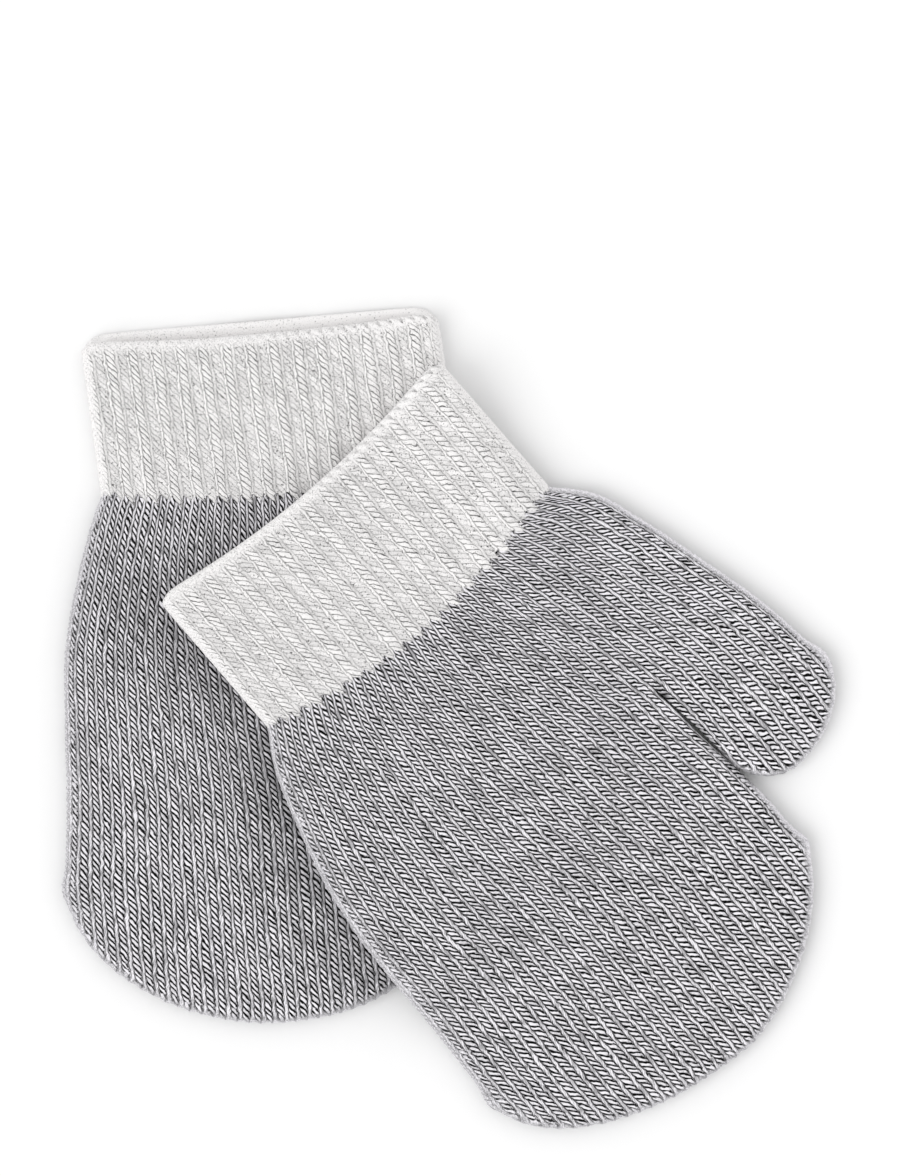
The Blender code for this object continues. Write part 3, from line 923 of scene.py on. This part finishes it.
class Patch:
    """One face of a part, laid column by column and joined into strips.

    Without a weave it is a plain inner face. Kept is the column of a patch laid before on the other
    side of the crotch line: up to the crotch, both patches share its points.
    """

    def __init__(self, cloth, part, side, slot, weave, kept=None):
        self.columns = []
        for wale, at, depth in self.woven(part, weave) if weave else self.plain(part):
            self.columns.append(self.lay(cloth, part, side, slot, wale, at, depth, kept))
            kept = None
        for one, other in zip(self.columns, self.columns[1:]):
            self.join(cloth, part, weave, one, other)

    def plain(self, part):
        """Columns of an inner face."""
        lines = [(wale, plain_line(part, wale)) for wale in spaced(part.first, part.last, PLAIN_WALES)]
        return [(wale, at, np.zeros(len(at))) for wale, at in lines]

    def woven(self, part, weave):
        """Columns of a weave, with one at each side of the patch, where no stroke shows."""
        laid = []
        for number in range(floor(part.first), ceil(part.last)):
            for line in weave.lines:
                if part.first <= number + line.place < part.last:
                    laid.append((number + line.place, *woven_line(part, weave, number, line)))
        edges = []
        for wale in (part.first, part.last):
            line = weave.lines[0]._replace(place=wale - floor(wale))
            edges.append((wale, *woven_line(part, weave, floor(wale), line)))
        before = edges[:1] if laid[0][0] > part.first + CLOSE else []
        return before + laid + edges[1:]

    def lay(self, cloth, part, side, slot, wale, at, depth, kept):
        """Add one column of points, after those that it shares with the kept one."""
        if not kept:
            return Column(wale, cloth.lay(part, side, slot, wale, at, depth), at)
        shared = kept.at <= part.root + CLOSE
        own = at > part.root + CLOSE
        ids = cloth.lay(part, side, slot, wale, at[own], depth[own])
        ids = np.concatenate([kept.ids[shared], ids])
        return Column(wale, ids, np.concatenate([kept.at[shared], at[own]]))

    def join(self, cloth, part, weave, one, other):
        """Faces between two columns. On a wale's left leg they follow its slanting strokes."""
        one_keys = part.courses(one.wale, one.at)
        other_keys = part.courses(other.wale, other.at)
        if weave:
            number = floor(one.wale + CLOSE)
            if other.wale - number <= weave.left_share + CLOSE:
                one_keys = one_keys - shear(weave, number, one.wale - number)
                other_keys = other_keys - shear(weave, number, other.wale - number)
        cloth.strip(one.ids, one_keys, other.ids, other_keys)

    def row(self, place):
        """The columns' first points, at place 0, or last ones, at -1, with their wales."""
        ids = np.array([column.ids[place] for column in self.columns])
        return ids, np.array([column.wale for column in self.columns])


class Cloth:
    """One closed shell of knit. Its marks tell the material each point's wale, course and fullness."""

    def __init__(self, cut):
        self.cut = cut
        self.count = 0
        self.points = []
        self.marks = []
        self.shades = []
        self.flat = []
        self.faces = []
        self.layout = []
        self.bands = 0

    def lay(self, part, side, slot, wale, at, depth):
        """Add a column of points, lowered by its depths where the knit is away from its edges."""
        across = part.across(wale, at)
        plan = np.column_stack([at + part.bow(across, at), across])
        flat = np.column_stack([across - part.corner[0], at - part.corner[1]]) * slot.scale
        away, inwards, fullness, shade = part.measure(plan, across, at)
        radius = ROUND - part.inset_at(at)
        tilt = 1.0 - np.clip(away / radius, 0.0, 1.0)
        rise = np.sqrt(1.0 - tilt * tilt)
        if part.inset > 0.0:
            fullness = np.full(len(at), part.inner_look)
        else:
            soft = eased(away / (SOFT_REACH if side > 0 else UNDERSIDE_REACH))
            if side < 0:
                fullness = soft * part.pattern_at(at)
            depth = soft * (depth + rib_depth(part, wale, at))
            depth += eased(away / CREASE_REACH) * crease_depth(self.cut, side, plan)
            tucks = tuck_shade(self.cut, side, plan)
            depth += TUCK_SINK * tucks
            shade = shade + tucks
            bulge = bulge_at(self.cut, part, wale, at, plan, away, inwards)
            plan += wandering(part, wale, at, away) - bulge[:, None] * inwards
        height = ROUND + side * (EDGE_BAND + (radius - EDGE_BAND - depth) * rise)
        plan += (depth * tilt)[:, None] * inwards
        places = to_floor(self.cut, plan)
        height += rest_height(self.cut, places)
        if self.cut is UNDER and part.bears_shade:
            beside = fading(distance_outside(places, OVER_OUTLINE), BESIDE_REACH)
            growth = eased((at - part.base) / BESIDE_START)
            beside = beside * (BESIDE_LEAST + (1.0 - BESIDE_LEAST) * growth)
            shade = np.maximum(shade, BESIDE_SHADE * beside)
        courses = part.courses(wale, at)
        self.shades.append(shade)
        self.points.append(np.column_stack([places, height]))
        self.marks.append(np.column_stack([np.full(len(at), wale), courses, fullness]))
        self.flat.append(flat + np.array((slot.x, slot.y)))
        first = self.count
        self.count += len(at)
        return np.arange(first, self.count)

    def strip(self, one, one_keys, other, other_keys, band=False):
        """Triangles between two rows of points, taking turns in the order of their keys.

        A band is a narrow strip between two patches: it gets its own place in the layout.
        """
        from_other = np.concatenate([np.zeros(len(one) - 1, int), np.ones(len(other) - 1, int)])
        order = np.argsort(np.concatenate([one_keys[1:], other_keys[1:]]), kind="stable")
        from_other = from_other[order]
        here = np.cumsum(1 - from_other) - (1 - from_other)
        there = np.cumsum(from_other) - from_other
        third_one = one[np.minimum(here + 1, len(one) - 1)]
        third_other = other[np.minimum(there + 1, len(other) - 1)]
        third = np.where(from_other == 1, third_other, third_one)
        self.faces.append(np.column_stack([one[here], third, other[there]]))
        if not band:
            self.layout.append(None)
            return
        place = np.linspace(*BAND_ENDS, len(order) + 1)
        low = BAND_START + BAND_STEP * self.bands
        high = low + BAND_SHARE * BAND_STEP
        corners = np.full((len(order), 3, 2), low)
        corners[:, :, 0] = np.column_stack([place[:-1], place[1:], place[:-1]])
        corners[from_other == 1, 1, 1] = high
        corners[:, 2, 1] = high
        self.layout.append(corners)
        self.bands += 1

    def seal(self, front, back):
        """Join two columns or rows of a front and a back patch, given as points and their keys."""
        self.strip(*front, *back, band=True)

    def seal_ring(self, one, other):
        """Join two closed rings, each given as its front row and its back row, with keys 0 to 1."""
        self.strip(*self.round_trip(*one), *self.round_trip(*other), band=True)

    def round_trip(self, front, back):
        ids = np.concatenate([front[0], back[0][::-1], front[0][:1]])
        return ids, np.concatenate([front[1] * RING_SHARE, 2.0 - back[1][::-1] * RING_SHARE, [2.0]])

    def build(self, name, material):
        """Make the object: a closed mesh with every face turned outwards, riding on the root body."""
        points = np.vstack(self.points) * MM
        faces = np.vstack(self.faces)
        flat = np.vstack(self.flat)
        layout = []
        for ids, corners in zip(self.faces, self.layout):
            layout.append(flat[ids] if corners is None else corners)
        mesh = bpy.data.meshes.new(name)
        mesh.from_pydata(points.tolist(), [], faces.tolist())
        marks = mesh.attributes.new("knit", "FLOAT_VECTOR", "POINT")
        marks.data.foreach_set("vector", np.vstack(self.marks).astype(np.float32).ravel())
        shades = mesh.attributes.new("shade", "FLOAT", "POINT")
        shades.data.foreach_set("value", np.concatenate(self.shades).astype(np.float32))
        unwrapped = mesh.uv_layers.new(name="OFBake")
        unwrapped.data.foreach_set("uv", np.vstack(layout).astype(np.float32).ravel())
        form = bmesh.new()
        form.from_mesh(mesh)
        bmesh.ops.recalc_face_normals(form, faces=form.faces)
        form.to_mesh(mesh)
        form.free()
        mesh.materials.append(material)
        mesh.shade_smooth()
        piece = add_object(name, mesh)
        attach(piece, "root")
        return piece


def hand_patches(cloth, cut, inset, side, slot, weave):
    """Front or back face of the hand: the fingers' patch and the thumb's, joined up to the crotch."""
    edge = HandEdge(cut, inset)
    fingers = Patch(cloth, HandPart(cut, inset, edge, False), side, slot, weave)
    thumb = Patch(cloth, HandPart(cut, inset, edge, True), side, slot, weave, kept=fingers.columns[-1])
    return fingers, thumb


def seal_hand(cloth, root, front, back):
    """Join a front and a back face of the hand all round but at the cuff.

    At the notch, that starts at the last point that fingers and thumb share.
    """

    def side_of(column, at_notch):
        first = np.searchsorted(column.at, root + CLOSE) - 1 if at_notch else 0
        return column.ids[first:], column.at[first:]

    for number, place in ((0, 0), (0, -1), (1, 0), (1, -1)):
        at_notch = (number, place) in ((0, -1), (1, 0))
        one, other = front[number].columns[place], back[number].columns[place]
        cloth.seal(side_of(one, at_notch), side_of(other, at_notch))
    for number in (0, 1):
        one, other = front[number], back[number]
        cloth.seal(one.row(-1), other.row(-1))


def hand_opening(patches):
    """The row of a hand's face at the cuff's seam, with keys from 0 to 1."""
    (finger_ids, finger_wales), (thumb_ids, thumb_wales) = (patch.row(0) for patch in patches)
    wales = np.concatenate([finger_wales, thumb_wales[1:]])
    return np.concatenate([finger_ids, thumb_ids[1:]]), wales / HAND_WALES


def build_hand(cut, name, material):
    """Palm, fingers and thumb in one shell, open at the cuff."""
    cloth = Cloth(cut)
    faces = []
    for (inset, side), place, weave in zip(FACES, HAND_SLOTS, (HAND_FRONT, HAND_BACK, None, None)):
        faces.append(hand_patches(cloth, cut, inset, side, place, weave))
    seal_hand(cloth, cut.notch.along, faces[0], faces[1])
    seal_hand(cloth, cut.notch.along - WALL, faces[2], faces[3])
    rows = [hand_opening(face) for face in faces]
    cloth.seal_ring(rows[:2], rows[2:])
    return cloth.build(name, material)


def build_cuff(cut, name, material):
    """Ribbed cuff: a tube with a rounded lip at the mouth."""
    cloth = Cloth(cut)
    patches = []
    for (inset, side), place, weave in zip(FACES, CUFF_SLOTS, (CUFF_FACE, CUFF_FACE, None, None)):
        patches.append(Patch(cloth, Cuff(cut, inset, side), side, place, weave))
    for front, back in (patches[:2], patches[2:]):
        for column in (0, -1):
            one, other = front.columns[column], back.columns[column]
            cloth.seal((one.ids, one.at), (other.ids, other.at))
    for end in (0, -1):
        rows = [patch.row(end) for patch in patches]
        rings = [(ids, (wales + RIB_PLACE) / CUFF_WALES) for ids, wales in rows]
        cloth.seal_ring(rings[:2], rings[2:])
    return cloth.build(name, material)


def add_object(name, data):
    """Make an object and put it in the scene."""
    made = bpy.data.objects.new(name, data)
    bpy.context.scene.collection.objects.link(made)
    return made


def fill(node, **values):
    """Put constants into a node's inputs. An underscore stands for a space in an input's name."""
    for name, value in values.items():
        node.inputs[name.replace("_", " ")].default_value = value


def node_material(name):
    """A new material and its shader."""
    material = bpy.data.materials.new(name)
    material.use_nodes = True
    return material, material.node_tree.nodes["Principled BSDF"]


class Wire:
    """A number that the nodes of a material work out, so that a pattern can be written as sums."""

    def __init__(self, graph, socket):
        self.graph = graph
        self.socket = socket

    def __add__(self, other):
        return self.graph.math("ADD", self, other)

    def __radd__(self, other):
        return self.graph.math("ADD", other, self)

    def __sub__(self, other):
        return self.graph.math("SUBTRACT", self, other)

    def __rsub__(self, other):
        return self.graph.math("SUBTRACT", other, self)

    def __mul__(self, other):
        return self.graph.math("MULTIPLY", self, other)


class Graph:
    """Adds nodes to a material."""

    def __init__(self, material):
        self.tree = material.node_tree
        self.place = self.wire("TexCoord", "Object")

    def put(self, socket, value):
        if isinstance(value, Wire):
            self.tree.links.new(value.socket, socket)
        else:
            socket.default_value = value

    def node(self, kind, *values, **settings):
        """Add a node. Its inputs are set in order: a wire is linked, a number is put in."""
        made = self.tree.nodes.new("ShaderNode" + kind)
        for name, value in settings.items():
            setattr(made, name, value)
        for socket, value in zip(made.inputs, values):
            self.put(socket, value)
        return made

    def wire(self, kind, output, *values, **settings):
        """One output of a new node."""
        return Wire(self, self.node(kind, *values, **settings).outputs[output])

    def split(self, kind, wire):
        """All outputs of a node that takes a place or a colour apart."""
        return [Wire(self, socket) for socket in self.node(kind, wire).outputs]

    def math(self, operation, *values):
        """One step of a sum."""
        return self.wire("Math", 0, *values, operation=operation)

    def between(self, value, low, high):
        """0 below low, 1 above high, and a gentle rise between them."""
        return self.wire("MapRange", 0, value, low, high, 0.0, 1.0, interpolation_type="SMOOTHSTEP")

    def noise(self, size, detail, output="Fac"):
        """Noise in patches of about this size."""
        made = self.node("TexNoise")
        self.put(made.inputs["Vector"], self.place)
        fill(made, Scale=1.0 / (size * MM), Detail=detail)
        return Wire(self, made.outputs[output])

    def random(self, one, other, seed):
        """A number from 0 to 1 for each pair of whole numbers."""
        place = self.wire("CombineXYZ", 0, one, other, seed)
        return self.wire("TexWhiteNoise", "Value", place, noise_dimensions="3D")

    def gap_distance(self, phase):
        """Distance, in courses, to the nearest gap between two strokes, which lie at phases 0 and 1."""
        return 0.5 - self.math("ABSOLUTE", phase - 0.5)


def blend(share, low, high):
    """The low value where the share is 0, and the high one where it is 1."""
    return low + share * (high - low)


# How a yarn looks. Tones run from 0, black, to 1, white: of strokes, of the gaps between them, which
# hold painted shade, of the right leg, of the grooves beside it, of the odd wales, of the fuzz at the
# edges and of the rim's painted light at right edges and tips, which also lightens a cuff's inner
# faces. Shine is how much lighter the right leg's dashes are, a painted highlight, soft how much
# lighter a groove is away from the gaps' ends, and under how much darker a stroke's far side is, in
# painted shade. Uneven is how much lighter some gaps are, and accent how much darker a gap's ends are,
# more painted shade. Dark and clear are where a stroke starts and has its full tone, in courses from
# the gap's middle. Then come how faint the odd wales are, and how far single strokes, large patches,
# fine fibres and dark specks differ. Trail is how much of the cuff's white is left in the first courses.
Yarn = namedtuple(
    "Yarn",
    "tint stroke gap right groove odd fuzz rim shine soft under uneven accent dark clear faint "
    "strokes patches fibres specks trail",
)

GREY_YARN = Yarn(
    tint=(1.008, 0.990, 1.032),
    stroke=1.03, gap=-0.14, right=0.79, groove=0.10, odd=0.6,
    fuzz=0.80, rim=1.0, shine=0.30, soft=0.46, under=0.20,
    uneven=0.34, accent=0.40, dark=0.13, clear=0.32, faint=0.0,
    strokes=0.20, patches=0.04, fibres=0.40, specks=0.10, trail=0.16,
)
WHITE_YARN = Yarn(
    tint=(1.012, 0.995, 0.99),
    stroke=0.985, gap=0.33, right=0.96, groove=0.62, odd=0.88,
    fuzz=0.965, rim=1.04, shine=0.06, soft=0.20, under=0.05,
    uneven=0.52, accent=0.20, dark=0.0, clear=0.18, faint=0.58,
    strokes=0.08, patches=0.03, fibres=0.32, specks=0.46, trail=0.0,
)


class Knit(Graph):
    """Strokes of yarn, light on their crests and dark in the gaps, where painted shade adds to the
    relief's own, softer and lighter at the edges.
    """

    def __init__(self, material, weave, yarn):
        super().__init__(material)
        self.weave = weave
        self.yarn = yarn
        marks = self.wire("Attribute", "Vector", attribute_name="knit")
        wale, course, self.fullness = self.split("SeparateXYZ", marks)
        # The yarn's uneven pull moves the pattern a little.
        pull = self.split("SeparateColor", self.noise(*PULL_NOISE, output="Color"))
        wale = wale + (pull[0] - 0.5) * WALE_PULL
        self.course = course + (pull[1] - 0.5) * COURSE_PULL
        self.number = self.math("FLOOR", wale)
        self.share = self.math("FRACT", wale)
        self.odd = self.math("ABSOLUTE", self.math("MODULO", self.number, 2.0))
        self.rise = weave.rise + self.number * weave.turn
        along = self.share * (1.0 / weave.left_share)
        self.along = along
        self.left_rise = self.course - along * (1.0 - STROKE_BEND + along * STROKE_BEND) * self.rise
        self.stitch = self.math("FLOOR", self.left_rise)
        self.variety = self.random(self.number, self.stitch, 2.0)

    def left_leg(self):
        """The wide left leg: slanting strokes with gaps of painted shade between them, darkest at both
        ends, and painted shade on each stroke's far side.
        """
        yarn = self.yarn
        left = self.weave.left_share
        phase = self.math("FRACT", self.left_rise)
        gap_variety = self.random(self.number, self.stitch, 1.0)
        off_middle = self.along - 0.5
        ends = off_middle * off_middle * 4.0
        thin = 1.0 + THINNED - ends * (THINNED + self.variety * THIN_SPREAD)
        core = self.between(self.gap_distance(phase) * thin, yarn.dark, yarn.clear)
        close = self.between(self.noise(*CLOSE_NOISE), *CLOSE_RANGE)
        # Painted shade: the gaps are dark and darkest at their ends, and a stroke's far side is darker.
        gap = yarn.gap + gap_variety * gap_variety * yarn.uneven
        gap = blend(close * CLOSE_SHARE, gap, 0.5 * (yarn.groove + yarn.stroke)) - ends * yarn.accent
        tone = blend(core, gap, yarn.stroke) - self.between(phase, *UNDER_RANGE) * yarn.under
        later = self.between(phase, *LATER_RANGE)
        near = self.between(self.share, GROOVE_START, GROOVE_END)
        far = self.between(self.share, left - GROOVE_END, left - GROOVE_START)
        tone = blend(near, yarn.groove + yarn.soft - later * yarn.soft, tone)
        tone = blend(far, tone, yarn.groove + later * yarn.soft)
        return blend(self.odd * yarn.faint, tone, yarn.odd)

    def right_leg(self):
        """The narrow right leg: an almost unbroken line, with a dash of painted highlight for each stitch.
        """
        yarn = self.yarn
        left = self.weave.left_share
        along = (self.share - left) * (1.0 / (1.0 - left))
        rise = self.course - (self.rise - along * (self.rise + RIGHT_DROP))
        phase = self.math("FRACT", rise)
        leaf = along + (phase - 0.5) * LEAF_LEAN
        hump = self.between(leaf, 0.0, LEAF_EDGE) * (1.0 - self.between(leaf, 1.0 - LEAF_EDGE, 1.0))
        dash = self.between(self.gap_distance(phase), 0.0, DASH_EDGE)
        dash = dash * self.random(self.number, self.math("FLOOR", rise), 3.0)
        tone = blend(hump, yarn.groove, yarn.right + dash * yarn.shine)
        return blend((1.0 - self.odd) * yarn.faint, tone, yarn.odd)

    def tone(self):
        """Both legs, the yarn's melange, and what its edges and shades make of it."""
        yarn = self.yarn
        on_right = self.math("GREATER_THAN", self.share, self.weave.left_share)
        tone = blend(on_right, self.left_leg(), self.right_leg())
        tone = tone + (self.variety - 0.5) * yarn.strokes
        if yarn.trail:
            in_rib = self.math("MODULO", self.number, HAND_WALES * RIB_WALES / CUFF_WALES)
            first_of_rib = 1.0 - self.math("MINIMUM", 1.0, in_rib)
            trail = first_of_rib * on_right * (1.0 - self.between(self.course, *TRAIL_RANGE))
            tone = tone + trail * yarn.trail
        fibres = self.noise(*FIBRE_NOISE) - 0.5
        specks = self.between(self.noise(*SPECK_NOISE), *SPECK_RANGE)
        patches = self.noise(*PATCH_NOISE) - 0.5
        tone = tone - specks * (0.5 + self.odd * 0.5) * yarn.specks
        tone = tone + fibres * yarn.fibres + patches * yarn.patches
        rim = self.math("MAXIMUM", 0.0, self.fullness * -1.0)
        plain = blend(rim, yarn.fuzz, yarn.rim) + fibres * (2.0 * yarn.fibres)
        plain = plain - specks * (0.5 * yarn.specks)
        tone = blend(self.math("MAXIMUM", 0.0, self.fullness), plain, tone)
        return tone * (1.0 - self.wire("Attribute", "Fac", attribute_name="shade"))


def knit_material(name, weave, yarn):
    """A knit's colours, with a little sheen and a fine bump."""
    material, shader = node_material(name)
    links = material.node_tree.links
    knit = Knit(material, weave, yarn)
    ramp = knit.node("ValToRGB", knit.tone())
    stops = ramp.color_ramp.elements
    while len(stops) < len(TONES):
        stops.new(0.5)
    for stop, (at, level) in zip(stops, TONES):
        stop.position = at
        stop.color = (*(level * tint for tint in yarn.tint), 1.0)
    links.new(ramp.outputs["Color"], shader.inputs["Base Color"])
    fill(shader, Roughness=0.92, Specular_IOR_Level=0.12, Sheen_Weight=0.12, Sheen_Roughness=0.5)

    bump = knit.node("Bump")
    fill(bump, Strength=0.5, Distance=BUMP_DEPTH * MM)
    knit.put(bump.inputs["Height"], knit.noise(*BUMP_NOISE))
    links.new(bump.outputs["Normal"], shader.inputs["Normal"])
    return material


def plain_material(name, colour):
    """A matt surface of one colour."""
    material, shader = node_material(name)
    fill(shader, Base_Color=(*colour, 1.0), Roughness=1.0, Specular_IOR_Level=0.0)
    return material


def add_floor():
    """A large pale floor."""
    sides = ((-1, -1), (1, -1), (1, 1), (-1, 1))
    corners = [(x * FLOOR_HALF, y * FLOOR_HALF, 0.0) for x, y in sides]
    mesh = bpy.data.meshes.new("floor")
    mesh.from_pydata(corners, [], [(0, 1, 2, 3)])
    mesh.materials.append(plain_material("floor", FLOOR_COLOUR))
    floor_object = add_object("floor", mesh)


def add_light():
    """A bright, even room and one large soft light from the lower left."""
    world = bpy.data.worlds.new("room")
    world.use_nodes = True
    fill(world.node_tree.nodes["Background"], Color=(1.0, 1.0, 1.0, 1.0), Strength=ROOM_LIGHT)
    bpy.context.scene.world = world

    lamp = bpy.data.lights.new("softbox", "SUN")
    lamp.energy = LAMP_LIGHT
    lamp.angle = radians(LAMP_WIDTH)
    lamp_object = add_object("softbox", lamp)
    lamp_object.rotation_euler = (0.0, radians(-LAMP_TILT), radians(LAMP_TURN))


def add_camera():
    """A distant camera that looks straight down and has the photo's frame."""
    camera = bpy.data.cameras.new("camera")
    camera.sensor_width = SENSOR
    camera.lens = SENSOR * (CAMERA_HEIGHT - FRAME_LEVEL * MM) / (FRAME_PIXELS * PIXEL * MM)
    camera.clip_start = 0.1
    camera.clip_end = 20.0
    camera_object = add_object("camera", camera)
    camera_object.location = (FRAME_CENTRE[0] * MM, FRAME_CENTRE[1] * MM, CAMERA_HEIGHT)
    bpy.context.scene.camera = camera_object


def main():
    grey = knit_material("knit_grey", HAND_FRONT, GREY_YARN)
    white = knit_material("knit_white", CUFF_FACE, WHITE_YARN)
    for name, cut in (("under", UNDER), ("over", OVER)):
        hand = build_hand(cut, name + "_hand_knit", grey)
        cuff = build_cuff(cut, name + "_cuff_knit", white)
        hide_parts(name + "_hand", name + "_thumb")
        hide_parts(name + "_cuff")
        flat_width = cut.hand[-1].right - cut.hand[-1].left
        flat_length = cut.fingertip.along - cut.hand[0].along
        2.0 * flat_width * MM
        flat_length * MM
        HAND_FILL * 2.0 * flat_width * flat_length * MM * MM
        cuff_width = cut.cuff[1].right - cut.cuff[1].left
        cuff_length = cut.cuff[1].along - cut.cuff[0].along
        2.0 * cuff_width * MM
        cuff_length * MM
    add_floor()
    add_light()
    add_camera()
    bpy.context.scene.view_settings.view_transform = "Standard"


main()
